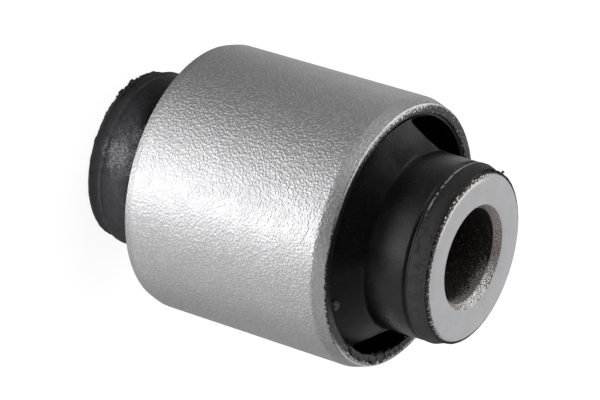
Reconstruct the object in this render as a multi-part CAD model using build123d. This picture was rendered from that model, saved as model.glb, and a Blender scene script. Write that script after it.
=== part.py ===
from build123d import *
from math import cos, radians, sin
import os

# Rubber metal bush for a suspension arm. The steel outer sleeve is pressed into the arm's eye, a bolt clamps
# the steel inner tube between two ears, and one rubber moulding is bonded to both. Two voids through the
# rubber make it soft sideways and leave a wide web in front and a narrow one behind.
# The bush stands on end: +Z runs along the bolt, the origin is the centre of the inner tube's lower face, and
# the wide web faces -Y. Millimetres and degrees.

# inner tube
tube_length = 51.0
tube_diameter = 21.5
bolt_bore = 12.2               # clears an M12 bolt
bore_chamfer_width = 0.7
bore_chamfer_depth = 0.95
tube_edge_break = 0.15

# outer sleeve
sleeve_length = 30.0
sleeve_diameter = 35.0
sleeve_wall = 1.8
lead_in_length = 1.8           # upper end, the end that enters the eye
lead_in_drop = 0.6
tail_length = 1.3              # lower end
tail_drop = 0.4
sleeve_inner_break = 0.15

# rubber over the inner tube
neck_wall = 0.75
collar_setback = 0.3           # rubber ends short of the tube's faces
collar_edge_wall = 0.12        # rubber left at its ends
groove_setback = 2.75          # middle of the groove, from the tube's face
groove_width = 0.65
groove_flank = 0.2             # length of each sloping side
groove_depth = 0.3
lip_width = 0.25               # from the groove to the crest of the lip, where the collar's taper starts
lip_height = 0.06

# rubber inside the sleeve
lining_wall = 0.4
lining_setback = 0.4           # lining ends short of the sleeve's faces
web_drop = 0.9                 # web's outer edge, below the sleeve's face
web_crown = 1.9                # web's inner edge, above the sleeve's face
web_sag = 0.25                 # the web's face is two cones that meet this far below a straight line
cove_radius = 0.9              # where the web meets the neck

# voids
# angles are from the middle of the front web
void_skin = 0.1                # a void stops this far outside the neck
void_front_outer = 74.0        # front wall, at the lining
void_front_inner = 92.0        # front wall, at the neck
void_rear_inner = 126.0
void_rear_outer = 147.0
void_corner = 0.4

# gate mark that the moulding leaves on the front web
gate_diameter = 1.3
gate_height = 0.5
gate_root = 0.8                # sunk into the web
gate_round = 0.25
gate_turn = 38.0               # from the middle of the front web, towards +X
gate_edge_gap = 0.25           # from the lining

tube_radius = tube_diameter / 2
sleeve_radius = sleeve_diameter / 2
sleeve_bore_radius = sleeve_radius - sleeve_wall
sleeve_top = (tube_length + sleeve_length) / 2
sleeve_bottom = (tube_length - sleeve_length) / 2
middle = tube_length / 2
neck_radius = tube_radius + neck_wall
lining_radius = sleeve_bore_radius - lining_wall


def turned(outline):
    """Solid of revolution about Z from a closed outline of (radius, height) points and curves."""
    return revolve(make_face(Plane.XZ * outline), Axis.Z)


def make_inner_tube():
    bore_radius = bolt_bore / 2
    outline = Polyline(
        (bore_radius + bore_chamfer_width, 0),
        (tube_radius - tube_edge_break, 0),
        (tube_radius, tube_edge_break),
        (tube_radius, tube_length - tube_edge_break),
        (tube_radius - tube_edge_break, tube_length),
        (bore_radius + bore_chamfer_width, tube_length),
        (bore_radius, tube_length - bore_chamfer_depth),
        (bore_radius, bore_chamfer_depth),
        close=True,
    )
    return turned(outline)


def make_outer_sleeve():
    inner_edge = sleeve_bore_radius + sleeve_inner_break
    outline = Polyline(
        (inner_edge, sleeve_bottom),
        (sleeve_radius - tail_drop, sleeve_bottom),
        (sleeve_radius, sleeve_bottom + tail_length),
        (sleeve_radius, sleeve_top - lead_in_length),
        (sleeve_radius - lead_in_drop, sleeve_top),
        (inner_edge, sleeve_top),
        (sleeve_bore_radius, sleeve_top - sleeve_inner_break),
        (sleeve_bore_radius, sleeve_bottom + sleeve_inner_break),
        close=True,
    )
    return turned(outline)


def web_height(radius):
    """Height of the web's upper face at a radius, on its straight line."""
    share = (lining_radius - radius) / (lining_radius - neck_radius)
    return sleeve_top - web_drop + (web_drop + web_crown) * share


def rubber_half_section():
    """Upper half of the moulding's section, from the middle height up to the tube's upper face."""
    rubber_top = tube_length - collar_setback
    groove_floor = neck_radius - groove_depth
    groove_low = tube_length - groove_setback - groove_width / 2
    groove_high = groove_low + groove_width
    web_foot = (lining_radius, web_height(lining_radius))
    web_middle = ((lining_radius + neck_radius) / 2, web_height((lining_radius + neck_radius) / 2) - web_sag)
    web_root = (neck_radius, web_height(neck_radius))
    lining_end = sleeve_top - lining_setback

    neck_and_collar = Polyline(
        web_root,
        (neck_radius, groove_low),
        (groove_floor, groove_low + groove_flank),
        (groove_floor, groove_high - groove_flank),
        (neck_radius, groove_high),
        (neck_radius + lip_height, groove_high + lip_width),
        (tube_radius + collar_edge_wall, rubber_top),
    )
    bond_and_lining = Polyline(
        (tube_radius + collar_edge_wall, rubber_top),
        (tube_radius, rubber_top),
        (tube_radius, middle),
        (sleeve_bore_radius, middle),
        (sleeve_bore_radius, lining_end),
        (lining_radius, lining_end),
        web_foot,
    )
    web_face = Polyline(web_foot, web_middle, web_root)
    section = make_face(neck_and_collar + bond_and_lining + web_face)
    cove_corner = section.vertices().sort_by_distance((*web_root, 0))[0]
    return fillet(cove_corner, cove_radius)


def around(radius, turn):
    """Point at a radius, turned from the middle of the front web towards +X."""
    return radius * sin(radians(turn)), -radius * cos(radians(turn))


def void_section():
    """Kidney between the neck and the lining on the +X side, with rounded corners."""
    skin_radius = neck_radius + void_skin
    front = Line(around(lining_radius, void_front_outer), around(skin_radius, void_front_inner))
    rear = Line(around(skin_radius, void_rear_inner), around(lining_radius, void_rear_outer))
    inner = ThreePointArc(front @ 1, around(skin_radius, (void_front_inner + void_rear_inner) / 2), rear @ 0)
    outer = ThreePointArc(rear @ 1, around(lining_radius, (void_front_outer + void_rear_outer) / 2), front @ 0)
    section = make_face(front + inner + rear + outer)
    return fillet(section.vertices(), void_corner)


def make_gate_mark():
    """Stub of the runner, broken off and left on the web close to the lining."""
    from_axis = lining_radius - gate_edge_gap - gate_diameter / 2
    foot = web_height(from_axis) - gate_root
    stub = Cylinder(gate_diameter / 2, gate_root + gate_height, align=(Align.CENTER, Align.CENTER, Align.MIN))
    stub = fillet(stub.edges().group_by(Axis.Z)[-1], gate_round)
    return Pos(*around(from_axis, gate_turn), foot) * stub


def make_rubber_body():
    upper = revolve(Plane.XZ * rubber_half_section(), Axis.Z)
    body = upper + mirror(upper, about=Plane.XY.offset(middle))
    void = extrude(void_section(), tube_length)
    body -= void
    body -= mirror(void, about=Plane.YZ)
    return body + make_gate_mark()


sub_parts = {
    "inner_tube": make_inner_tube(),
    "outer_sleeve": make_outer_sleeve(),
    "rubber_body": make_rubber_body(),
}

os.makedirs("parts", exist_ok=True)
for name, solid in sub_parts.items():
    export_step(solid, f"parts/{name}.step")
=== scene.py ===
import bpy
import math
import random
from mathutils import Matrix, Vector, noise


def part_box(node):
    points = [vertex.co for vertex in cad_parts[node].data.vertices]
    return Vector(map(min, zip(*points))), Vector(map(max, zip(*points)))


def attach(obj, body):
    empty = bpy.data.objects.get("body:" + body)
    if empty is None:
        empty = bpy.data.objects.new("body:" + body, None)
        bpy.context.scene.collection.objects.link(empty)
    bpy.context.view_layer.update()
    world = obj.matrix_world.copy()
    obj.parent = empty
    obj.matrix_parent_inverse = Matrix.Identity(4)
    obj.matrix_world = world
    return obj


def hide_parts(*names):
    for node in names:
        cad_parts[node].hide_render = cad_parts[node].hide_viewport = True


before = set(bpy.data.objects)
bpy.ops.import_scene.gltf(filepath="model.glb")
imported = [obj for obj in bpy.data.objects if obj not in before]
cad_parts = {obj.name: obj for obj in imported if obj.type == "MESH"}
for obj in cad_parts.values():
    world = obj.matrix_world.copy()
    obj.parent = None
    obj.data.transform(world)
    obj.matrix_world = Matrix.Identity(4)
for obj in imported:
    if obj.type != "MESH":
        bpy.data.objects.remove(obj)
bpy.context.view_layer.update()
mm = 0.001
print("frame loaded:", ", ".join(sorted(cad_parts)))


# sizes that several pieces share are read from the frame, in mm
def nodeSpan(node):
    low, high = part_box(node)
    return high.x / mm, low.z / mm, high.z / mm      # widest radius, lower end, upper end


sleeveRadius, sleeveBottom, sleeveTop = nodeSpan("outer_sleeve")
tubeRadius, tubeBottom, tubeTop = nodeSpan("inner_tube")
bushMiddle = (tubeBottom + tubeTop) / 2
sleeveBore = nodeSpan("rubber_body")[0]              # the rubber fills the sleeve
neckRadius = 11.5                                    # these two lie inside a node's box
liningRadius = 15.3


# helpers for materials
def newFinish(name):
    finish = bpy.data.materials.new(name)
    finish.use_nodes = True
    return finish, finish.node_tree, finish.node_tree.nodes["Principled BSDF"]


def addNode(tree, kind, inputs, **settings):
    node = tree.nodes.new(kind)
    for key, value in settings.items():
        setattr(node, key, value)
    for socket, value in inputs.items():
        if isinstance(value, bpy.types.NodeSocket):
            tree.links.new(value, node.inputs[socket])
        else:
            node.inputs[socket].default_value = value
    return node


def combine(tree, operation, first, *others):
    # a chain of math nodes, from left to right
    for other in others:
        first = addNode(tree, "ShaderNodeMath", {0: first, 1: other}, operation=operation).outputs[0]
    return first


def times(tree, *values):
    return combine(tree, "MULTIPLY", *values)


def plus(tree, *values):
    return combine(tree, "ADD", *values)


def most(tree, *values):
    return combine(tree, "MAXIMUM", *values)


def fade(tree, value, low, high, lowResult=0.0, highResult=1.0, smooth=True):
    node = addNode(tree, "ShaderNodeMapRange", {
        "Value": value, "From Min": low, "From Max": high, "To Min": lowResult, "To Max": highResult})
    node.interpolation_type = "SMOOTHSTEP" if smooth else "LINEAR"
    return node.outputs["Result"]


def fadeMm(tree, value, span, lowResult=0.0, highResult=1.0):
    return fade(tree, value, span[0] * mm, span[1] * mm, lowResult, highResult)


def invert(tree, value):
    return fade(tree, value, 0.0, 1.0, 1.0, 0.0)


def gapTo(tree, value, middle):
    return combine(tree, "ABSOLUTE", combine(tree, "SUBTRACT", value, middle), 0.0)


def grain(tree, place, size, detail=2.0, roughness=0.5, distortion=0.0):
    # noise whose grains are about size mm across
    return addNode(tree, "ShaderNodeTexNoise", {
        "Vector": place, "Scale": 1 / (size * mm), "Detail": detail, "Roughness": roughness,
        "Distortion": distortion}).outputs["Fac"]


def blendColors(tree, factor, first, second):
    node = addNode(tree, "ShaderNodeMix", {}, data_type="RGBA")
    for socket, value in ((0, factor), (6, first), (7, second)):
        if isinstance(value, bpy.types.NodeSocket):
            tree.links.new(value, node.inputs[socket])
        else:
            node.inputs[socket].default_value = value if socket == 0 else (*value, 1)
    return node.outputs[2]


def pieceCoordinates(tree):
    # place, height, distance from the axis, and angle round it: 0 at -Y, growing towards +X
    place = addNode(tree, "ShaderNodeTexCoord", {}).outputs["Object"]
    x, y, height = addNode(tree, "ShaderNodeSeparateXYZ", {0: place}).outputs
    squared = plus(tree, times(tree, x, x), times(tree, y, y))
    radius = combine(tree, "SQRT", squared, 0.0)
    angle = combine(tree, "ARCTAN2", x, times(tree, y, -1.0))
    return place, height, radius, angle


def endDistance(tree, height):
    # from the nearer of the tube's two faces
    return combine(tree, "MINIMUM", height, combine(tree, "SUBTRACT", tubeTop * mm, height))


def turnBand(tree, angle, middle, half, fadeOut, strength):
    # strength within half a width of the middle, then fading to 0, all in degrees
    return fade(tree, gapTo(tree, angle, math.radians(middle)), math.radians(half), math.radians(fadeOut),
                strength, 0.0)


def sidesOf(tree, angle, bands):
    return most(tree, *[turnBand(tree, angle, *band) for band in bands])


def patch(tree, angle, height, turn, level, wide, tall, ragged=0.0):
    # soft spot on a turned surface: 1 in its middle, 0 outside; turn and wide in degrees, the rest in mm
    offTurn = combine(tree, "SUBTRACT", angle, math.radians(turn))
    across = times(tree, offTurn, 1 / math.radians(wide))
    along = times(tree, combine(tree, "SUBTRACT", height, level * mm), 1 / (tall * mm))
    squared = plus(tree, times(tree, across, across),
                   times(tree, along, along))
    return fade(tree, plus(tree, squared, ragged), 0.0, 1.1, 1.0, 0.0)


def connect(tree, shader, sockets, relief, depth, strength=1.0):
    # wires what varies over the surface, and a bump of this depth in metres
    for name, value in sockets.items():
        tree.links.new(value, shader.inputs[name])
    bump = addNode(tree, "ShaderNodeBump", {"Strength": strength, "Distance": depth, "Height": relief})
    tree.links.new(bump.outputs[0], shader.inputs["Normal"])


# camera and studio
camera = {
    "spot": Vector((-0.05696, -0.36697, 0.23844)),
    "aim": Vector((-0.00220, -0.01094, 0.03156)),
    "rollDegrees": 107.16,           # the bush stands on end and is framed lying down
    "lensMm": 203.53,
    "clip": (0.01, 20),
}


def setCamera():
    data = bpy.data.cameras.new("camera")
    data.lens = camera["lensMm"]
    data.clip_start, data.clip_end = camera["clip"]
    eye = bpy.data.objects.new("camera", data)
    bpy.context.collection.objects.link(eye)
    forward = (camera["aim"] - camera["spot"]).normalized()
    level = forward.to_track_quat("-Z", "Y").to_matrix()
    roll = Matrix.Rotation(math.radians(camera["rollDegrees"]), 3, "Z")
    eye.matrix_world = Matrix.Translation(camera["spot"]) @ (level @ roll).to_4x4()
    bpy.context.scene.camera = eye


setCamera()
print("camera set")

studio = {
    "floorSize": 8.0,
    "floorColor": (0.50, 0.50, 0.505),
    "floorGlow": 0.87,               # added for the camera alone, so the floor reads as white paper
    # light cards fan out over the floor: (direction round the bush in degrees, radiance they add)
    "cards": [(-180, 0.30), (-151, 0.55), (-131, 0.49), (-111, 0.36), (-91, 0.28), (-71, 0.27),
              (-51, 0.37), (-31, 0.92), (-11, 1.52), (9, 2.10), (29, 1.00), (49, 0.75),
              (69, 0.69), (89, 0.49), (109, 0.43), (129, 0.43), (149, 0.29), (180, 0.17)],
    "cardReach": (0.017, 0.150),     # they start and end this far from the bush's axis
    "cardEdges": (0.004, 0.02),      # and fade over these widths there
    "cardRise": (0.03, 0.10, 1.35),  # between these distances they get this much brighter
    "worldStrength": (0.60, 0.26),   # at the horizon and overhead
    "worldOverhead": 0.85,           # the height, of 1, from which it counts as overhead
    "worldSides": (0.6, 1.0),        # at -X and at +X
    # black cloth round the camera
    "flag": {"toward": (-0.13, -0.86, 0.50), "cosines": (0.80, 0.95), "left": 0.25},
    "lamps": [
        {"name": "topLight", "spot": (-0.28, 0.50, 0.50), "aim": (0, 0, 0.03), "size": (0.5, 0.4),
         "radiance": 1.05},
        {"name": "faceLight", "spot": (0.09, 0.57, 0.38), "aim": (0, 0, 0.05), "size": (0.5, 0.5),
         "radiance": 0.36},
        {"name": "frontLight", "spot": (-0.42, -0.22, 0.38), "aim": (0, 0, 0.03), "size": (0.45, 0.45),
         "radiance": 0.8},
        {"name": "sideLight", "spot": (-0.52, 0.165, 0.25), "aim": (0, 0, 0.045), "size": (0.24, 0.24),
         "radiance": 1.3},
        {"name": "overLight", "spot": (-0.30, 0.03, 0.62), "aim": (0, 0, 0.03), "size": (0.24, 0.24),
         "radiance": 1.3},
    ],
}


def paperFloor():
    bpy.ops.object.select_all(action="DESELECT")
    bpy.ops.mesh.primitive_plane_add(size=studio["floorSize"], location=(0, 0, 0))
    floor = bpy.context.object
    floor.name = "floor"
    paper = bpy.data.materials.new("paper")
    paper.use_nodes = True
    tree = paper.node_tree
    tree.nodes.clear()
    _, _, away, turn = pieceCoordinates(tree)
    glow = 0.0
    for (first, low), (last, high) in zip(studio["cards"], studio["cards"][1:]):
        rise = fade(tree, turn, math.radians(first), math.radians(last), 0.0, high - low, smooth=False)
        glow = plus(tree, rise, glow)
    start, end = studio["cardReach"]
    softStart, softEnd = studio["cardEdges"]
    riseStart, riseEnd, brighter = studio["cardRise"]
    glow = times(tree, glow, fade(tree, away, start, start + softStart),
                 fade(tree, away, end - softEnd, end + softEnd, 1.0, 0.0),
                 fade(tree, away, riseStart, riseEnd, 1.0, brighter, smooth=False))
    seen = addNode(tree, "ShaderNodeLightPath", {}).outputs["Is Camera Ray"]
    white = times(tree, seen, studio["floorGlow"])
    cards = times(tree, combine(tree, "SUBTRACT", 1.0, seen), glow)
    matt = addNode(tree, "ShaderNodeBsdfDiffuse", {"Color": (*studio["floorColor"], 1)}).outputs[0]
    shine = addNode(tree, "ShaderNodeEmission", {"Strength": plus(tree, white, cards)}).outputs[0]
    both = addNode(tree, "ShaderNodeAddShader", {0: matt, 1: shine}).outputs[0]
    addNode(tree, "ShaderNodeOutputMaterial", {"Surface": both})
    floor.data.materials.append(paper)


def setWorld():
    world = bpy.data.worlds.new("studioWorld")
    bpy.context.scene.world = world
    world.use_nodes = True
    tree = world.node_tree
    back = tree.nodes["Background"]
    back.inputs["Color"].default_value = (1, 1, 1, 1)
    toward = addNode(tree, "ShaderNodeTexCoord", {}).outputs["Generated"]
    across, _, up = addNode(tree, "ShaderNodeSeparateXYZ", {0: toward}).outputs
    flag = studio["flag"]
    facing = addNode(tree, "ShaderNodeVectorMath", {0: toward, 1: flag["toward"]}, operation="DOT_PRODUCT")
    light = times(tree,
                  fade(tree, up, 0.0, studio["worldOverhead"], *studio["worldStrength"], smooth=False),
                  fade(tree, across, -1.0, 1.0, *studio["worldSides"], smooth=False),
                  fade(tree, facing.outputs["Value"], *flag["cosines"], 1.0, flag["left"]))
    seen = addNode(tree, "ShaderNodeLightPath", {}).outputs["Is Camera Ray"]
    tree.links.new(most(tree, light, seen), back.inputs["Strength"])


def setLamps():
    for lamp in studio["lamps"]:
        spot = Vector(lamp["spot"])
        data = bpy.data.lights.new(lamp["name"], "AREA")
        data.shape = "RECTANGLE"
        data.size, data.size_y = lamp["size"]
        data.energy = lamp["radiance"] * math.pi * data.size * data.size_y
        light = bpy.data.objects.new(lamp["name"], data)
        light.location = spot
        light.rotation_euler = (spot - Vector(lamp["aim"])).to_track_quat("Z", "Y").to_euler()
        light.visible_camera = False
        bpy.context.collection.objects.link(light)


paperFloor()
setWorld()
setLamps()
bpy.context.scene.view_settings.view_transform = "Standard"
print("studio lit")


# helpers for modelling
def startPiece():
    if bpy.context.object and bpy.context.object.mode != "OBJECT":
        bpy.ops.object.mode_set(mode="OBJECT")
    bpy.ops.object.select_all(action="DESELECT")


def pickOnly(piece):
    startPiece()
    piece.select_set(True)
    bpy.context.view_layer.objects.active = piece


def selectBy(kind):
    bpy.context.tool_settings.mesh_select_mode = [kind == name for name in ("points", "edges", "faces")]


def around(radius, swing):
    # x and y at a radius, swing in radians from -Y towards +X
    return radius * math.sin(swing), -radius * math.cos(swing)


def turnOf(point):
    # degrees from -Y towards +X
    return math.degrees(math.atan2(point.x, -point.y))


def reachOf(point):
    # distance from the axis and height, in mm
    return math.hypot(point.x, point.y) / mm, point.z / mm


def mirrored(upper):
    # the same outline at the lower end, in the order in which it closes the upper one
    return [(radius, tubeBottom + tubeTop - height, rounding) for radius, height, rounding in reversed(upper)]


def softOutline(corners, steps=5):
    # corners are (radius, height, rounding); a rounding above 0 turns the corner into an arc
    points = []
    for index, (radius, height, rounding) in enumerate(corners):
        corner = Vector((radius, height))
        if not rounding:
            points.append(corner)
            continue
        toLast = (Vector(corners[index - 1][:2]) - corner).normalized()
        toNext = (Vector(corners[(index + 1) % len(corners)][:2]) - corner).normalized()
        half = toLast.angle(toNext) / 2
        centre = corner + (toLast + toNext).normalized() * (rounding / math.sin(half))
        start = corner + toLast * (rounding / math.tan(half)) - centre
        turn = start.angle_signed(corner + toNext * (rounding / math.tan(half)) - centre)
        for step in range(steps + 1):
            spoke = Matrix.Rotation(-turn * step / steps, 2) @ start
            points.append(centre + spoke)
    return points


def stackRings(name, points, sides, closed):
    # a ring extruded and scaled from point to point; a point starts with its radius and height
    startPiece()
    radius, height = points[0][:2]
    bpy.ops.mesh.primitive_circle_add(vertices=sides, radius=radius * mm, location=(0, 0, height * mm))
    piece = bpy.context.object
    piece.name = name
    bpy.ops.object.transform_apply(location=True, rotation=False, scale=False)
    bpy.ops.object.mode_set(mode="EDIT")
    for last, here in zip(points, points[1:] + points[:1] if closed else points[1:]):
        bpy.ops.mesh.extrude_region_move(TRANSFORM_OT_translate={"value": (0, 0, (here[1] - last[1]) * mm)})
        ratio = here[0] / last[0]
        bpy.ops.transform.resize(value=(ratio, ratio, 1), center_override=(0, 0, here[1] * mm))
    return piece


def turnPiece(name, points, sides):
    weld = 0.002 * mm                # the last ring falls on the first one
    piece = stackRings(name, points, sides, closed=True)
    bpy.ops.mesh.select_all(action="SELECT")
    bpy.ops.mesh.remove_doubles(threshold=weld)
    bpy.ops.mesh.normals_make_consistent(inside=False)
    bpy.ops.object.mode_set(mode="OBJECT")
    return piece


def editFaces(piece, chosen):
    # edit mode, with the faces selected for which chosen(face) is true
    selectBy("faces")
    for face in piece.data.polygons:
        face.select = chosen(face)
    bpy.ops.object.mode_set(mode="EDIT")


def applyModifier(piece, kind, name, **settings):
    pickOnly(piece)
    bpy.ops.object.modifier_add(type=kind)
    modifier = piece.modifiers[-1]
    modifier.name = name
    for key, value in settings.items():
        setattr(modifier, key, value)
    bpy.ops.object.modifier_apply(modifier=name)


def roughen(piece, name, size, depth, detail, middle, weigh):
    # cloudy relief; weigh(radius, height) gives each vertex its share of it, in mm
    group = piece.vertex_groups.new(name=name)
    for vertex in piece.data.vertices:
        share = weigh(*reachOf(vertex.co))
        if share > 0:
            group.add([vertex.index], share, "REPLACE")
    clouds = bpy.data.textures.new(name, "CLOUDS")
    clouds.noise_scale = size
    clouds.noise_depth = detail
    applyModifier(piece, "DISPLACE", name, texture=clouds, texture_coords="LOCAL", strength=depth,
                  mid_level=middle, vertex_group=name)


def finishPiece(piece, material, smoothDegrees=35):
    pickOnly(piece)
    bpy.ops.object.shade_smooth_by_angle(angle=math.radians(smoothDegrees))
    piece.data.materials.clear()
    piece.data.materials.append(material)
    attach(piece, "root")


# outer sleeve: blasted and plated steel with an orange-peel grain
# bands round it are (middle, half width, where it has faded out, strength), in degrees
sleeve = {
    "sides": 480,
    "rows": 128,
    "leadIn": (1.8, 0.6),            # length and drop of the taper at the upper end
    "tail": (1.3, 0.4),
    "edgeRound": 0.18,
    "shoulderRounds": (1.2, 1.6),    # where the tail and the lead-in meet the straight wall
    "peelSize": 0.00075,
    "peelDepth": 0.030 * mm,
    "peelDetail": 1,
    "peelSkin": 0.3,                 # only this much of the wall has the peel
    "color": (0.74, 0.735, 0.745),
    "valleyShadeColor": (0.62, 0.615, 0.625),
    "blotchColor": (0.58, 0.575, 0.585),
    "blotchSize": 3.0,
    "blotchCut": (0.35, 0.7),        # a cut is where a noise starts to count, and where it counts fully
    "blotchStrength": 0.35,
    "reliefCut": (0.45, 1.05),
    "pebbleSize": 0.36,
    "pebbleDepth": 0.040,
    "pebbleWarp": (1300, 0.0004),    # scale and reach of the noise that bends the pebbles
    "domeEdge": (0.1, 0.75),
    "fineSize": 0.15,
    "coarseSize": 1.1,
    "mix": {"domes": 0.85, "fine": 0.45, "coarse": 0.25},
    "deepBand": (-32, 16, 38, 0.6),  # the grain is deepest towards -X in front
    "smoothEnd": (2.2, 1.2),         # the relief falls between these distances from the end face
    "smoothLeft": 0.35,              # to this share
    "roughness": (0.34, 0.44),
    "faceTop": (0.10, 0.02),         # the end face, by the distance below it
    "faceRim": (0.62, 0.78),         # and inside the straight wall
    "filmColor": (0.014, 0.013, 0.014),
    # the first band is rubber film, the second is painted shade
    "filmAndShadeBands": [(14, 26, 56, 0.30), (-125, 25, 45, 0.17)],
    "filmCut": (0.56, 0.62),
    "filmInward": (0.7, 0.22),       # from this far inside the straight wall it gains this much by the bore
    "filmOverhang": 1.3,             # how raggedly the film runs over the corner, in mm
    "filmEnd": (0.20, 0.14),
    "speckSize": 0.30,
    "gritSize": 0.26,
    "gritCut": (0.43, 0.49),
    "gritDark": (0.03, 0.028, 0.028),
    "gritPale": (0.50, 0.49, 0.48),
    "gritLit": (1.0, 0.99, 0.97),
    "litSideBand": (-92, 52, 80, 1.0),
    "rubbedHighlightColor": (0.88, 0.87, 0.85),
    "rubbedHighlightRim": (0.86, 0.66),
    "rubbedHighlightTop": (0.22, 0.06),
    "rubbedHighlightCut": (0.36, 0.48),
    "rubbedHighlightBands": [(-58, 34, 60, 1.0), (85, 20, 45, 1.0)],
}


def fadeBelowTop(tree, height, depths, lowResult=0.0, highResult=1.0):
    return fadeMm(tree, height, [sleeveTop - depth for depth in depths], lowResult, highResult)


def fadeInside(tree, radius, outside, depths, lowResult=0.0, highResult=1.0):
    # depths are measured inwards from a radius in mm
    return fadeMm(tree, radius, [outside - depth for depth in depths], lowResult, highResult)


def sleeveRelief(tree, place):
    warpScale, warpReach = sleeve["pebbleWarp"]
    warp = addNode(tree, "ShaderNodeTexNoise", {"Vector": place, "Scale": warpScale, "Detail": 1.0})
    warped = addNode(tree, "ShaderNodeVectorMath", {0: warp.outputs["Color"], 1: (warpReach,) * 3},
                     operation="MULTIPLY").outputs[0]
    spot = addNode(tree, "ShaderNodeVectorMath", {0: place, 1: warped}, operation="ADD").outputs[0]
    pebble = addNode(tree, "ShaderNodeTexVoronoi", {
        "Vector": spot, "Scale": 1 / (sleeve["pebbleSize"] * mm), "Smoothness": 0.15, "Randomness": 1.0},
        feature="SMOOTH_F1").outputs["Distance"]
    mix = sleeve["mix"]
    domes = fade(tree, pebble, *sleeve["domeEdge"], 1.0, 0.0)
    fine = grain(tree, place, sleeve["fineSize"], detail=3.0, roughness=0.6)
    coarse = grain(tree, place, sleeve["coarseSize"], detail=2.0)
    relief = plus(tree, times(tree, domes, mix["domes"]),
                  times(tree, fine, mix["fine"]),
                  times(tree, coarse, mix["coarse"]))
    return relief, fine


def sleeveFinish():
    finish, tree, shader = newFinish("pebbledSteel")
    place, height, radius, angle = pieceCoordinates(tree)
    relief, fine = sleeveRelief(tree, place)
    blotch = grain(tree, place, sleeve["blotchSize"], detail=3.0)
    smoother = fadeBelowTop(tree, height, sleeve["smoothEnd"], 1.0, sleeve["smoothLeft"])
    deeper = plus(tree, turnBand(tree, angle, *sleeve["deepBand"]), 1.0)
    # painted shade: the grain's valleys are darker
    tone = blendColors(tree, fade(tree, relief, *sleeve["reliefCut"]), sleeve["valleyShadeColor"], sleeve["color"])
    blotched = fade(tree, blotch, *sleeve["blotchCut"], 0.0, sleeve["blotchStrength"])
    tone = blendColors(tree, blotched, tone, sleeve["blotchColor"])
    # the cut end face is gritty
    onFace = times(tree, fadeBelowTop(tree, height, sleeve["faceTop"]),
                   fadeInside(tree, radius, sleeveRadius, sleeve["faceRim"]))
    grit = grain(tree, place, sleeve["gritSize"], detail=2.0, roughness=0.75)
    # painted light: the grit is paler on the upper side, near -92 degrees
    upper = turnBand(tree, angle, *sleeve["litSideBand"])
    pale = blendColors(tree, upper, sleeve["gritPale"], sleeve["gritLit"])
    gritty = blendColors(tree, fade(tree, grit, *sleeve["gritCut"]), sleeve["gritDark"], pale)
    tone = blendColors(tree, onFace, tone, gritty)
    # rubber film lies on it, thickest round the wide web, and runs a little over the corner; the band near
    # -125 degrees is painted shade on that corner, in the film's dark colour
    speck = grain(tree, place, sleeve["speckSize"], detail=3.0, roughness=0.7)
    facing = sidesOf(tree, angle, sleeve["filmAndShadeBands"])
    inwardStart, inwardGain = sleeve["filmInward"]
    inward = fadeMm(tree, radius, (sleeveRadius - inwardStart, sleeveBore), 0.0, inwardGain)
    film = fade(tree, plus(tree, speck, facing, inward), *sleeve["filmCut"])
    overhang = times(tree, combine(tree, "SUBTRACT", speck, 0.5), sleeve["filmOverhang"] * mm)
    film = times(tree, film,
                 fadeBelowTop(tree, plus(tree, height, overhang), sleeve["filmEnd"]))
    tone = blendColors(tree, film, tone, sleeve["filmColor"])
    # the corner between the taper and the face is rubbed, and a painted highlight runs along it
    rubbedHighlight = times(tree, fadeInside(tree, radius, sleeveRadius, sleeve["rubbedHighlightRim"]),
                   fadeBelowTop(tree, height, sleeve["rubbedHighlightTop"]), fade(tree, speck, *sleeve["rubbedHighlightCut"]),
                   sidesOf(tree, angle, sleeve["rubbedHighlightBands"]))
    tone = blendColors(tree, rubbedHighlight, tone, sleeve["rubbedHighlightColor"])
    film = times(tree, film, fade(tree, rubbedHighlight, 0.2, 0.8, 1.0, 0.0))
    connect(tree, shader, {
        "Base Color": tone,
        "Roughness": fade(tree, plus(tree, fine, blotch), 0.7, 1.3, *sleeve["roughness"]),
        "Metallic": invert(tree, film)},
        relief, times(tree, deeper, sleeve["pebbleDepth"] * mm), smoother)
    return finish


def makeSleeve():
    leadLength, leadDrop = sleeve["leadIn"]
    tailLength, tailDrop = sleeve["tail"]
    tailRound, leadRound = sleeve["shoulderRounds"]
    edge = sleeve["edgeRound"]
    corners = [
        (sleeveBore, bushMiddle, 0),
        (sleeveBore, sleeveBottom, edge),
        (sleeveRadius - tailDrop, sleeveBottom, edge),
        (sleeveRadius, sleeveBottom + tailLength, tailRound),
        (sleeveRadius, sleeveTop - leadLength, leadRound),
        (sleeveRadius - leadDrop, sleeveTop, edge),
        (sleeveBore, sleeveTop, edge),
    ]
    piece = turnPiece("outerSleeve", softOutline(corners), sleeve["sides"])
    bpy.ops.object.mode_set(mode="EDIT")
    bpy.ops.mesh.select_all(action="DESELECT")
    bpy.ops.object.mode_set(mode="OBJECT")
    tolerance, longest = 0.02, 10                    # mm
    for line in piece.data.edges:                    # the long straight lines up the outside
        first, last = [reachOf(piece.data.vertices[i].co) for i in line.vertices]
        outside = min(first[0], last[0]) > sleeveRadius - tolerance
        line.select = outside and abs(first[1] - last[1]) > longest
    selectBy("edges")
    bpy.ops.object.mode_set(mode="EDIT")
    bpy.ops.mesh.subdivide(number_cuts=sleeve["rows"])
    selectBy("points")
    bpy.ops.object.mode_set(mode="OBJECT")
    roughen(piece, "peel", sleeve["peelSize"], sleeve["peelDepth"], sleeve["peelDetail"], 1.0,
            lambda radius, height: 1.0 if radius > sleeveRadius - sleeve["peelSkin"] else 0.0)
    finishPiece(piece, sleeveFinish())
    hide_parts("outer_sleeve")


makeSleeve()
print("outer sleeve made")

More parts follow.
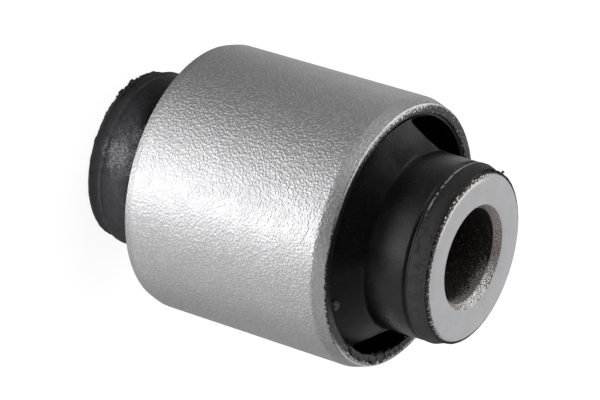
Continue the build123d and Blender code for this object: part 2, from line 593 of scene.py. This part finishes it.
# inner tube: turned steel, bright on its faces, dark in its bore
tube = {
    "sides": 256,
    "bore": 6.1,
    "chamfer": (0.7, 0.95),          # width and depth
    "edgeBreak": 0.15,
    "edgeRound": 0.12,
    "boreRound": 0.15,
    "faceColor": (0.60, 0.60, 0.615),
    "cloudColor": (0.57, 0.565, 0.58),
    "pitColor": (0.18, 0.16, 0.16),
    "pitStrength": 0.6,
    "boreColor": (0.030, 0.024, 0.020),
    "fleckAndGlintColor": (0.50, 0.46, 0.44),
    "fleckReach": (1.0, 3.4),        # flecks thin out between these distances from the end
    "glintGain": 0.20,
    "fleckCut": (0.62, 0.68),
    "chamferEdges": {"rim": (-0.05, 0.05), "foot": (-0.12, 0.06)},   # how softly its finish ends, in mm
    "chamferColor": (0.66, 0.59, 0.58),
    "chamferDark": (0.20, 0.17, 0.16),
    "chamferCut": (0.36, 0.58),
    "glintColor": (1.0, 0.96, 0.94),
    "coarseDark": (0.04, 0.03, 0.028),
    "coarseCut": (0.44, 0.50),
    "glintSideBand": (115, 35, 80, 1.0),
    "gritSize": 0.15,
    "cloudSize": 2.2,
    "cloudCut": (0.35, 0.7),
    "pitSize": 0.42,
    "pitCut": (0.70, 0.76),
    "speckSize": 0.30,
    "filmColor": (0.018, 0.013, 0.011),
    "filmRim": (0.95, 0.35),         # between these distances inside the rim
    "filmGain": (-0.35, 0.16),       # the film goes from scarce to thick
    "filmBand": (-10, 45, 95, 0.20),
    "filmLess": 0.235,
    "filmCut": (0.52, 0.58),
    "rimHighlightColor": (0.95, 0.91, 0.88),
    "rimHighlightReach": (1.05, 0.75),
    "rimHighlightBand": (-45, 22, 42, 1.0),
    "roughness": (0.30, 0.42),
    "turningMarks": (9000.0, 0.5),   # how close they are, and their share of the relief
    "gritRelief": 12.0,
    "reliefDepth": 0.006 * mm,
}


def tubeFinish():
    finish, tree, shader = newFinish("turnedSteel")
    place, height, radius, angle = pieceCoordinates(tree)
    chamferWidth, chamferDepth = tube["chamfer"]
    chamferEdges = tube["chamferEdges"]
    fromEnd = endDistance(tree, height)
    onChamfer = fadeInside(tree, radius, tube["bore"] + chamferWidth, chamferEdges["rim"])
    pastChamfer = fadeMm(tree, fromEnd, [chamferDepth + part for part in chamferEdges["foot"]])
    inBore = times(tree, pastChamfer, onChamfer)
    grit = grain(tree, place, tube["gritSize"], detail=2.0, roughness=0.7)
    cloud = grain(tree, place, tube["cloudSize"], detail=3.0)
    pits = fade(tree, grain(tree, place, tube["pitSize"], detail=2.0), *tube["pitCut"])
    face = blendColors(tree, fade(tree, cloud, *tube["cloudCut"]), tube["faceColor"], tube["cloudColor"])
    face = blendColors(tree, times(tree, pits, tube["pitStrength"]), face, tube["pitColor"])
    # painted glints: on one side the chamfer's grit is pale and dark, where it faces the light
    glintSide = turnBand(tree, angle, *tube["glintSideBand"])
    fineGrit = fade(tree, grit, *tube["chamferCut"])
    fineGrit = blendColors(tree, fineGrit, tube["chamferDark"], tube["chamferColor"])
    glintGrit = fade(tree, grit, *tube["coarseCut"])
    glintGrit = blendColors(tree, glintGrit, tube["coarseDark"], tube["glintColor"])
    tone = blendColors(tree, onChamfer, face, blendColors(tree, glintSide, fineGrit, glintGrit))
    # the bore is rough and speckled near its mouth, with more pale flecks on the glint side as painted glints
    mouthGlints = times(tree, fadeMm(tree, fromEnd, tube["fleckReach"], tube["glintGain"], 0.0), glintSide)
    flecks = fade(tree, plus(tree, grit, mouthGlints), *tube["fleckCut"])
    tone = blendColors(tree, inBore, tone, blendColors(tree, flecks, tube["boreColor"], tube["fleckAndGlintColor"]))
    # ragged rubber film creeps over the rim on the side of the wide web; above it a painted highlight runs
    # along the rim's edge
    speck = grain(tree, place, tube["speckSize"], detail=3.0, roughness=0.7)
    atRim = fadeInside(tree, radius, tubeRadius, tube["filmRim"], *tube["filmGain"])
    side = combine(tree, "SUBTRACT", turnBand(tree, angle, *tube["filmBand"]), tube["filmLess"])
    film = fade(tree, plus(tree, speck, atRim, side), *tube["filmCut"])
    wearAndHighlight = times(tree, fadeInside(tree, radius, tubeRadius, tube["rimHighlightReach"]),
                 turnBand(tree, angle, *tube["rimHighlightBand"]))
    tone = blendColors(tree, wearAndHighlight, tone, tube["rimHighlightColor"])
    tone = blendColors(tree, film, tone, tube["filmColor"])
    outOfBore = fade(tree, inBore, 0.0, 1.0, 1.0, 0.0, smooth=False)
    bare = times(tree, outOfBore, invert(tree, film))
    # turning marks: noise that changes fast with the radius alone
    closeness, marksShare = tube["turningMarks"]
    outwards = times(tree, radius, closeness)
    stretched = addNode(tree, "ShaderNodeCombineXYZ", {0: outwards, 1: height}).outputs[0]
    marks = addNode(tree, "ShaderNodeTexNoise", {
        "Vector": stretched, "Scale": 1.0, "Detail": 1.0}).outputs["Fac"]
    relief = plus(tree, times(tree, grit, onChamfer, tube["gritRelief"]),
                  times(tree, marks, marksShare))
    connect(tree, shader, {
        "Base Color": tone,
        "Metallic": bare,
        "Roughness": fade(tree, plus(tree, onChamfer, cloud), 0.4, 1.5, *tube["roughness"])},
        relief, tube["reliefDepth"])
    return finish


def makeTube():
    bore, edge = tube["bore"], tube["edgeRound"]
    chamferWidth, chamferDepth = tube["chamfer"]
    upper = [
        (bore, tubeTop - chamferDepth, tube["boreRound"]),
        (bore + chamferWidth, tubeTop, edge),
        (tubeRadius - tube["edgeBreak"], tubeTop, edge),
        (tubeRadius, tubeTop - tube["edgeBreak"], edge),
    ]
    outline = softOutline([(bore, bushMiddle, 0)] + upper + mirrored(upper), steps=3)
    piece = turnPiece("innerTube", outline, tube["sides"])
    finishPiece(piece, tubeFinish())
    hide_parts("inner_tube")


makeTube()
print("inner tube made")

# rubber moulding: two dished webs, coves, grooved collars, kidney voids
rubber = {
    "sides": 320,
    "end": 0.3,                      # rubber ends this far from the tube's faces
    "collarEdge": 0.10,
    "collarRings": 6,
    "neckRings": 8,
    "grooveSetback": 2.75,
    "grooveWidth": 0.65,
    "grooveDepth": 0.3,
    "grooveFlanks": (0.22, 0.18),    # lengths of its lower and upper sides
    "lipHeight": 0.06,
    "lipWidth": 0.25,
    "neckClear": 0.3,                # the neck's last ring stands this far below the groove
    "rounds": {"lining": (0.1, 0.12), "webFoot": 0.15, "groove": (0.12, 0.10, 0.10, 0.05), "lip": 0.16,
               "collar": 0.08},
    "liningSetback": 0.4,
    "webDrop": 0.9,
    "webCrown": 1.9,
    "webSag": 0.25,
    "webRings": (14.9, 0.3, 9),      # first radius, spacing and number across the web's face
    "webTilt": 0.5,                  # upper web stands this much higher at -X and lower at +X
    "tiltEnd": (46.5, 3.0),          # nothing leans above this height, and all of it this far below
    "tiltClear": {"webFoot": 0.25, "middle": 5, "tube": 0.5},        # and nothing this close to these
    "cove": 0.9,
    "voidSkin": 0.1,
    "voidFront": (92.0, 74.0),       # front wall at the neck and at the lining, from the front web's middle
    "voidRear": (126.0, 147.0),
    "voidCorner": 0.4,
    "voidSteps": (5, 2),             # degrees clear of the corners, and between points on the arcs
    "bondMargins": (0.08, 0.05),     # rubber this close to the tube and to the lining counts as bonded
    "edgeRound": 0.14,
    "edgeSegments": 3,
    "sharpDegrees": 38,              # edges sharper than this are rounded
    "weld": 0.02 * mm,
    "unevenSize": 0.0024,
    "unevenDepth": 0.09 * mm,
    "unevenDetail": 2,
    "color": (0.0065, 0.0062, 0.0075),
    "dustAndSheenColor": (0.040, 0.039, 0.042),
    "edgeColor": (0.020, 0.0135, 0.0105),
    "chipColor": (0.22, 0.17, 0.14),
    "scuffAndSheenColor": (0.46, 0.46, 0.49),
    "fineSize": 0.22,
    "cloudSize": 2.6,
    "smearSize": 0.8,
    "streaks": {"size": 0.20, "turn": (0.3, 0.9, 0.4), "stretch": (1.0, 0.22, 1.0)},
    "dustAndSheenCut": (0.80, 1.25),
    "dustAndSheenCollar": (2.6, 2.1),        # dust thins out between these distances from the end
    "dustAndSheenCollarLeft": 0.12,
    "dustAndSheenNeck": (7.4, 5.6),
    "grooveShade": (0.30, 0.50),      # and from the groove's middle
    "edgeReach": (0.35, 1.9),
    "edgeGain": 0.50,
    "edgeCut": (0.66, 0.82),
    "chipReach": (0.6, 1.2),
    "chipStrength": 0.7,
    "chipCut": (0.62, 0.68),
    # turn, height, half width in degrees, half height, strength
    "scuffs": [(-5, 4.2, 12, 2.4, 1.0), (-8, 5.2, 22, 3.6, 0.42), (-45, 8.0, 14, 1.6, 0.20),
               (54, 45.7, 15, 0.9, 0.17)],
    # these patches are painted sheen, in the same columns
    "sheenPatches": [(16, 2.0, 75, 6.0, 0.26), (-6, 0.8, 26, 1.6, 0.20), (22, 49.8, 62, 1.8, 0.15),
              (58, 49.6, 24, 0.9, 0.10)],
    "scuffRagged": (0.7, -0.7),      # how far its noise moves a scuff's edge out and in
    "streakCut": (0.38, 0.60),
    "lipHighlightBand": (-60, 22, 40, 1.0),
    "lipHighlightWidth": (0.08, 0.20),
    "lipHighlightCut": (0.34, 0.54),
    "rootShadeBand": (-14, 20, 46, 1.0),
    "rootShadeReach": (4.0, 7.2),
    "rootShadeStrength": 0.9,
    "webReach": (7.6, 8.4),
    "webStrength": 0.30,
    "shine": (0.38, 0.02),           # where it is rubbed, and at the root of the neck
    "roughness": (0.24, 0.52),
    "reliefDepth": 0.016 * mm,
}


def rubberDustAndSheen(tree, height, angle, fromEnd, cloud, smear):
    # dust on the collars and a little on the necks, which also stands in as painted sheen; none in the coves,
    # the grooves and the voids, which stay darker as painted shade
    onCollar = fadeMm(tree, fromEnd, rubber["dustAndSheenCollar"], rubber["dustAndSheenCollarLeft"], 1.0)
    onNeck = fadeMm(tree, fromEnd, rubber["dustAndSheenNeck"])
    outGroove = fadeMm(tree, gapTo(tree, fromEnd, rubber["grooveSetback"] * mm), rubber["grooveShade"])
    clearOfHollows = times(tree, onCollar, onNeck, outGroove)
    dustAndSheen = fade(tree, plus(tree, cloud, smear), *rubber["dustAndSheenCut"], 0.05, 1.0)
    dustAndSheen = times(tree, dustAndSheen, clearOfHollows)
    # and a painted highlight along the lip of the upper groove, in a pale dust colour
    crest = rubber["grooveSetback"] - rubber["grooveWidth"] / 2 - rubber["lipWidth"] * 0.6
    lip = fadeMm(tree, gapTo(tree, fromEnd, crest * mm), rubber["lipHighlightWidth"], 1.0, 0.0)
    lip = times(tree, lip, fadeMm(tree, height, (bushMiddle, bushMiddle + 1)),
                turnBand(tree, angle, *rubber["lipHighlightBand"]), fade(tree, smear, *rubber["lipHighlightCut"]))
    return dustAndSheen, lip


def rubberScuffsAndSheen(tree, height, angle, streak, smear):
    # streaky scuffs with ragged edges, and smooth patches of painted sheen
    ragged = fade(tree, plus(tree, smear, streak), 0.7, 1.3, *rubber["scuffRagged"], smooth=False)
    layers = []
    for spots, edge in ((rubber["scuffs"], ragged), (rubber["sheenPatches"], 0.0)):
        layer = 0.0
        for *spot, strength in spots:
            layer = most(tree, times(tree, patch(tree, angle, height, *spot, edge), strength), layer)
        layers.append(layer)
    paleMarks = times(tree, layers[0], fade(tree, streak, *rubber["streakCut"], 0.1, 1.1))
    sheen = times(tree, layers[1], fade(tree, smear, 0.3, 0.7, 0.7, 1.1))
    return most(tree, paleMarks, sheen)


def rubberFinish():
    finish, tree, shader = newFinish("mouldedRubber")
    place, height, _, angle = pieceCoordinates(tree)
    fine = grain(tree, place, rubber["fineSize"], detail=3.0, roughness=0.65)
    cloud = grain(tree, place, rubber["cloudSize"], detail=4.0, roughness=0.6)
    smear = grain(tree, place, rubber["smearSize"], detail=3.0, roughness=0.6, distortion=1.0)
    streaks = rubber["streaks"]
    stretched = addNode(tree, "ShaderNodeMapping", {
        "Vector": place, "Rotation": streaks["turn"], "Scale": streaks["stretch"]}).outputs[0]
    streak = grain(tree, stretched, streaks["size"], detail=4.0, roughness=0.7)
    fromEnd = endDistance(tree, height)
    dustAndSheen, lip = rubberDustAndSheen(tree, height, angle, fromEnd, cloud, smear)
    # scuffs, with the painted sheen and the painted highlight on the lip
    paleMarks = most(tree, rubberScuffsAndSheen(tree, height, angle, streak, smear), lip)
    edge = plus(tree, fadeMm(tree, fromEnd, rubber["edgeReach"], rubber["edgeGain"], 0.0),
                fade(tree, plus(tree, fine, smear), 0.6, 1.4))
    chip = times(tree, fade(tree, fine, *rubber["chipCut"]),
                 fadeMm(tree, fromEnd, rubber["chipReach"], rubber["chipStrength"], 0.0))
    tone = blendColors(tree, dustAndSheen, rubber["color"], rubber["dustAndSheenColor"])
    tone = blendColors(tree, fade(tree, edge, *rubber["edgeCut"]), tone, rubber["edgeColor"])
    tone = blendColors(tree, chip, tone, rubber["chipColor"])
    tone = blendColors(tree, paleMarks, tone, rubber["scuffAndSheenColor"])
    wearAndHighlight = plus(tree, times(tree, fine, 0.5), plus(tree, dustAndSheen, paleMarks))
    # the web, the cove and the front side of the neck's root reflect less, as painted shade
    root = times(tree, fadeMm(tree, fromEnd, rubber["rootShadeReach"], 0.0, rubber["rootShadeStrength"]),
                 turnBand(tree, angle, *rubber["rootShadeBand"]))
    root = most(tree, root,
                fadeMm(tree, fromEnd, rubber["webReach"], 0.0, rubber["webStrength"]))
    shader.inputs["Specular IOR Level"].default_value = rubber["shine"][0]
    connect(tree, shader, {
        "Base Color": tone,
        "Roughness": fade(tree, wearAndHighlight, 0.15, 1.25, *rubber["roughness"]),
        "Specular IOR Level": fade(tree, root, 0.0, 1.0, *rubber["shine"], smooth=False)},
        plus(tree, fine, times(tree, smear, 1.2)), rubber["reliefDepth"])
    return finish


def webHeight(radius):
    share = (liningRadius - radius) / (liningRadius - neckRadius)
    sag = rubber["webSag"] * 4 * share * (1 - share)
    return sleeveTop - rubber["webDrop"] + (rubber["webDrop"] + rubber["webCrown"]) * share - sag


def webLift(x):
    return -rubber["webTilt"] * x / liningRadius


def rubberOutline():
    top = tubeTop - rubber["end"]
    grooveLow = tubeTop - rubber["grooveSetback"] - rubber["grooveWidth"] / 2
    grooveHigh = grooveLow + rubber["grooveWidth"]
    grooveFloor = neckRadius - rubber["grooveDepth"]
    lowFlank, highFlank = rubber["grooveFlanks"]
    lip, lipHeight = neckRadius + rubber["lipHeight"], grooveHigh + rubber["lipWidth"]
    collarEnd = tubeRadius + rubber["collarEdge"]
    liningEnd = sleeveTop - rubber["liningSetback"]
    webStart, webStep, webCount = rubber["webRings"]
    neckLow, neckHigh = webHeight(neckRadius) + rubber["cove"], grooveLow - rubber["neckClear"]
    neckCount, collarCount = rubber["neckRings"], rubber["collarRings"]
    rounds = rubber["rounds"]
    groove = rounds["groove"]
    upper = [
        (sleeveBore, liningEnd, rounds["lining"][0]),
        (liningRadius, liningEnd, rounds["lining"][1]),
        (liningRadius, webHeight(liningRadius), rounds["webFoot"]),
    ]
    webRadii = [webStart - webStep * step for step in range(webCount)]
    upper += [(radius, webHeight(radius), 0) for radius in webRadii]
    upper += [(neckRadius, webHeight(neckRadius), rubber["cove"])]
    upper += [(neckRadius, neckLow + (neckHigh - neckLow) * step / neckCount, 0)
              for step in range(1, neckCount + 1)]
    upper += [
        (neckRadius, grooveLow, groove[0]),
        (grooveFloor, grooveLow + lowFlank, groove[1]),
        (grooveFloor, grooveHigh - highFlank, groove[2]),
        (neckRadius, grooveHigh, groove[3]),
        (lip, lipHeight, rounds["lip"]),
    ]
    upper += [(lip + (collarEnd - lip) * step / collarCount,
               lipHeight + (top - lipHeight) * step / collarCount, 0) for step in range(2, collarCount)]
    upper += [(collarEnd, top, rounds["collar"]), (tubeRadius, top, 0)]
    return softOutline([(sleeveBore, bushMiddle, 0)] + upper + mirrored(upper), steps=6)


def voidCutter(side):
    # kidney between neck and lining, side 1 towards +X and -1 towards -X
    skin, corner = neckRadius + rubber["voidSkin"], rubber["voidCorner"]
    frontNeck, frontLining = rubber["voidFront"]
    rearNeck, rearLining = rubber["voidRear"]
    clear, step = rubber["voidSteps"]
    turns = [(skin, frontNeck, corner)]
    turns += [(skin, turn, 0) for turn in range(int(frontNeck) + clear, int(rearNeck) - clear + 1, step)]
    turns += [(skin, rearNeck, corner), (liningRadius, rearLining, corner)]
    turns += [(liningRadius, turn, 0)
              for turn in range(int(rearLining) - clear, int(frontLining) + clear - 1, -step)]
    turns += [(liningRadius, frontLining, corner)]
    corners = []
    for radius, turn, rounding in turns:
        x, y = around(radius, math.radians(turn))
        corners.append((side * x, y, rounding))
    outline = softOutline(corners, steps=6)
    startPiece()
    bpy.ops.mesh.primitive_circle_add(vertices=len(outline), fill_type="NGON", location=(0, 0, 0))
    cutter = bpy.context.object
    beyond = 5                                       # it reaches this far past the tube's faces, in mm
    for vertex, point in zip(cutter.data.vertices, outline):
        vertex.co = (point.x * mm, point.y * mm, -beyond * mm)
    bpy.ops.object.mode_set(mode="EDIT")
    bpy.ops.mesh.select_all(action="SELECT")
    bpy.ops.mesh.extrude_region_move(TRANSFORM_OT_translate={"value": (0, 0, (tubeTop + 2 * beyond) * mm)})
    bpy.ops.mesh.select_all(action="SELECT")
    bpy.ops.mesh.normals_make_consistent(inside=False)
    bpy.ops.object.mode_set(mode="OBJECT")
    return cutter


def freeRubber(radius, height=0):
    # 1 where the rubber is open to the air, 0 where it is bonded to steel
    atTube, atLining = rubber["bondMargins"]
    bonded = radius < tubeRadius + atTube or radius > liningRadius + atLining
    return 0.0 if bonded else 1.0


def leanWeb(piece):
    tiltTop, tiltDepth = rubber["tiltEnd"]
    clear = rubber["tiltClear"]
    liningStart = liningRadius - rubber["bondMargins"][1]
    webFoot = sleeveTop - rubber["webDrop"] + clear["webFoot"]
    for vertex in piece.data.vertices:
        radius, height = reachOf(vertex.co)
        onLining = radius > liningStart and height > webFoot
        if height > bushMiddle + clear["middle"] and radius > tubeRadius + clear["tube"] and not onLining:
            share = min(1.0, max(0.0, (tiltTop - height) / tiltDepth))
            vertex.co.z += webLift(vertex.co.x / mm) * share * mm


def roundVoids(piece):
    # the rims of the voids and the web's edges, but no edge bonded to steel
    pickOnly(piece)
    selectBy("edges")
    bpy.ops.object.mode_set(mode="EDIT")
    bpy.ops.mesh.select_all(action="SELECT")
    bpy.ops.mesh.remove_doubles(threshold=rubber["weld"])
    bpy.ops.mesh.select_all(action="DESELECT")
    bpy.ops.mesh.edges_select_sharp(sharpness=math.radians(rubber["sharpDegrees"]))
    bpy.ops.object.mode_set(mode="OBJECT")
    vertices = piece.data.vertices
    for line in piece.data.edges:
        if line.select:
            line.select = all(freeRubber(reachOf(vertices[i].co)[0]) for i in line.vertices)
    bpy.ops.object.mode_set(mode="EDIT")
    bpy.ops.mesh.bevel(offset=rubber["edgeRound"] * mm, segments=rubber["edgeSegments"], clamp_overlap=True)
    bpy.ops.object.mode_set(mode="OBJECT")
    selectBy("points")


def makeRubber():
    piece = turnPiece("rubberMoulding", rubberOutline(), rubber["sides"])
    for side in (1, -1):
        cutter = voidCutter(side)
        applyModifier(piece, "BOOLEAN", "void", operation="DIFFERENCE", solver="EXACT", object=cutter)
        bpy.data.objects.remove(cutter)
    leanWeb(piece)
    roundVoids(piece)
    print("voids cut and rounded:", len(piece.data.vertices), "vertices")
    roughen(piece, "uneven", rubber["unevenSize"], rubber["unevenDepth"], rubber["unevenDetail"], 0.5,
            freeRubber)
    finishPiece(piece, rubberFinish())
    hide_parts("rubber_body")


makeRubber()
print("rubber moulding made")

# torn flash: thin ragged rubber and crumbs left where the mould closed on steel
flash = {
    "sides": 720,
    "wall": 0.12,
    # rings are (radius, height, share of the tear that moves them outwards)
    "nearCollar": {"rings": [(10.80, 50.45, 0), (10.92, 50.66, 0.2), (10.98, 50.80, 1)],
                   "tear": (0.03, 0.26), "middle": -96, "spread": 16, "span": (-180, 180)},
    "farCollar": {"rings": [(10.80, 0.55, 0), (10.95, 0.34, 0.2), (11.00, 0.20, 1)],
                  "tear": (0.08, 0.40), "middle": -48, "spread": 34, "span": (-180, 180)},
    "rim": {"rings": [(15.30, 40.05, 0), (15.42, 40.50, 0.3), (15.75, 40.62, 0.8), (16.05, 40.56, 1)],
            "tear": (0.10, 0.75), "middle": 98, "spread": 24, "span": (58, 130)},
    "spanFade": 9,                   # a part ring fades out over this many degrees at its ends
    "spanSink": 0.7,                 # and sinks this much there
    "flutter": (1600, 0.22),         # scale and height of the waves along the torn edge
    "waves": (0.16, 0.9, 2.3),       # of a broad, a fine and a finest tear, per degree
    "broadTear": (2.2, 0.25),        # gain and offset of the broad one
    "fineTear": (0.75, 0.6, 0.6),    # what the fine ones leave, add, and the finest one's share
    # crumbs hang on the torn edges: (turn, spread, radius, height, count, size), in degrees and mm
    "crumbs": [
        (-61, 3, 10.96, 50.72, 8, 0.22), (-85, 8, 11.10, 50.80, 26, 0.25),
        (-104, 3, 11.12, 50.82, 7, 0.24), (-30, 60, 10.96, 50.70, 70, 0.13),
        (50, 45, 10.96, 50.70, 50, 0.15), (160, 60, 10.95, 50.70, 24, 0.10),
        (-50, 24, 11.08, 0.24, 26, 0.17), (60, 110, 10.98, 0.32, 50, 0.10),
        (100, 16, 16.3, 40.56, 26, 0.16), (66, 8, 16.2, 40.52, 8, 0.12),
        (-20, 80, 16.1, 40.50, 40, 0.07),
    ],
    # a crumb's place and shape vary by these shares of its size
    "crumbAcross": 0.6,
    "crumbSizes": (0.55, 1.5),
    "crumbLevels": (-0.5, 0.3),
    "crumbWidths": (0.6, 1.3),
    "crumbHeights": (0.5, 0.9),
    "crumbJag": 0.16,
}


def clump(turn, seed):
    # ragged share from 0 to 1 at an angle
    broadWave, fineWave, finestWave = flash["waves"]
    gain, offset = flash["broadTear"]
    left, added, finest = flash["fineTear"]
    broad = max(0.0, noise.noise(Vector((turn * broadWave, seed, 0))) * gain + offset)
    fine = noise.noise(Vector((turn * fineWave, seed, 3)))
    fine += finest * noise.noise(Vector((turn * finestWave, seed, 7)))
    return min(1.0, broad) * (left + added * fine)


def makeFlash(name, place, seed):
    sides = flash["sides"]
    piece = stackRings(name, place["rings"], sides, closed=False)
    bpy.ops.object.mode_set(mode="OBJECT")
    shallow, deep = place["tear"]
    first, last = place["span"]
    whole = last - first == 360
    flutterScale, flutterHeight = flash["flutter"]
    for index, vertex in enumerate(piece.data.vertices):
        share = place["rings"][index // sides][2]
        turn = turnOf(vertex.co)
        bell = math.exp(-((turn - place["middle"]) / place["spread"]) ** 2)
        inside = 1.0 if whole else min(1.0, max(0.0, min(turn - first, last - turn) / flash["spanFade"]))
        reach = share * (shallow + deep * bell) * clump(turn, seed) * inside
        vertex.co.z -= (1 - inside) * flash["spanSink"] * mm
        outwards = Vector((vertex.co.x, vertex.co.y, 0)).normalized()
        vertex.co += outwards * (reach * mm)
        wave = noise.noise(vertex.co * flutterScale + Vector((seed, 0, 0)))
        vertex.co.z += wave * share * flutterHeight * bell * mm
    editFaces(piece, lambda face: not first <= turnOf(face.center) <= last)
    bpy.ops.mesh.delete(type="FACE")
    selectBy("points")
    bpy.ops.mesh.select_all(action="SELECT")
    bpy.ops.mesh.normals_make_consistent(inside=False)
    bpy.ops.object.mode_set(mode="OBJECT")
    applyModifier(piece, "SOLIDIFY", "wall", thickness=flash["wall"] * mm, offset=0.0)
    finishPiece(piece, bpy.data.materials["mouldedRubber"], smoothDegrees=50)


def makeCrumbs():
    startPiece()
    bpy.ops.mesh.primitive_ico_sphere_add(subdivisions=2, radius=0.5 * mm, location=(0, 0, 0))
    crumb = bpy.context.object
    bpy.ops.object.mode_set(mode="EDIT")
    bpy.ops.transform.vertex_random(offset=flash["crumbJag"] * mm, seed=4)
    bpy.ops.object.mode_set(mode="OBJECT")
    draw = random.Random(11)
    off, fullTurn = flash["crumbAcross"], 6.28
    copies = []
    for turn, spread, radius, height, count, size in flash["crumbs"]:
        for _ in range(count):
            swing = math.radians(turn + draw.uniform(-spread, spread))
            x, y = around(radius + draw.uniform(-off, off) * size, swing)
            scale = size * draw.uniform(*flash["crumbSizes"])
            copy = bpy.data.objects.new("crumb", crumb.data.copy())
            bpy.context.collection.objects.link(copy)
            copy.location = (x * mm, y * mm, (height + draw.uniform(*flash["crumbLevels"]) * size) * mm)
            copy.rotation_euler = [draw.uniform(0, fullTurn) for _ in range(3)]
            copy.scale = (scale * draw.uniform(*flash["crumbWidths"]), scale,
                          scale * draw.uniform(*flash["crumbHeights"]))
            copies.append(copy)
    bpy.data.objects.remove(crumb)
    startPiece()
    for copy in copies:
        copy.select_set(True)
    bpy.context.view_layer.objects.active = copies[0]
    bpy.ops.object.join()
    piece = bpy.context.object
    piece.name = "flashCrumbs"
    bpy.ops.object.transform_apply(location=True, rotation=True, scale=True)
    finishPiece(piece, bpy.data.materials["mouldedRubber"], smoothDegrees=60)


makeFlash("nearCollarFlash", flash["nearCollar"], 2.0)
makeFlash("farCollarFlash", flash["farCollar"], 5.0)
makeFlash("rimFlash", flash["rim"], 8.0)
makeCrumbs()
print("torn flash made")

# gate mark: the stub of the runner, broken off close to the lining
gate = {
    "turn": 38,
    "edgeGap": 0.25,
    "diameter": 1.3,
    "height": 0.5,
    "root": 0.8,
    "round": 0.25,
    "sides": 48,
    "tornRing": 0.10,                # two rings this wide, the inner one sunk
    "tornDepth": 0.06,
    "color": (0.19, 0.185, 0.195),   # the broken end is paler than the moulded skin
    "darkColor": (0.03, 0.028, 0.032),
    "roughness": 0.55,
    "grainSize": 0.25,
    "grainDepth": 0.03 * mm,
}


def gateFinish():
    finish, tree, shader = newFinish("brokenRubber")
    place = addNode(tree, "ShaderNodeTexCoord", {}).outputs["Object"]
    rough = grain(tree, place, gate["grainSize"], detail=3.0, roughness=0.65)
    tone = blendColors(tree, fade(tree, rough, 0.35, 0.6), gate["darkColor"], gate["color"])
    shader.inputs["Roughness"].default_value = gate["roughness"]
    connect(tree, shader, {"Base Color": tone}, rough, gate["grainDepth"])
    return finish


def makeGateMark():
    fromAxis = liningRadius - gate["edgeGap"] - gate["diameter"] / 2
    x, y = around(fromAxis, math.radians(gate["turn"]))
    foot = webHeight(fromAxis) + webLift(x) - gate["root"]
    tall = gate["root"] + gate["height"]
    startPiece()
    bpy.ops.mesh.primitive_cylinder_add(
        vertices=gate["sides"], radius=gate["diameter"] / 2 * mm, depth=tall * mm,
        location=Vector((x, y, foot + tall / 2)) * mm)
    piece = bpy.context.object
    piece.name = "gateMark"
    bpy.ops.object.transform_apply(location=True, rotation=False, scale=False)
    editFaces(piece, lambda face: face.normal.z > 0.99)
    bpy.ops.mesh.bevel(offset=gate["round"] * mm, segments=5, affect="EDGES")
    bpy.ops.object.mode_set(mode="OBJECT")
    editFaces(piece, lambda face: face.normal.z > 0.999)
    bpy.ops.mesh.inset(thickness=gate["tornRing"] * mm)
    bpy.ops.mesh.inset(thickness=gate["tornRing"] * mm, depth=-gate["tornDepth"] * mm)
    bpy.ops.object.mode_set(mode="OBJECT")
    selectBy("points")
    finishPiece(piece, gateFinish())


makeGateMark()
print("gate mark made")
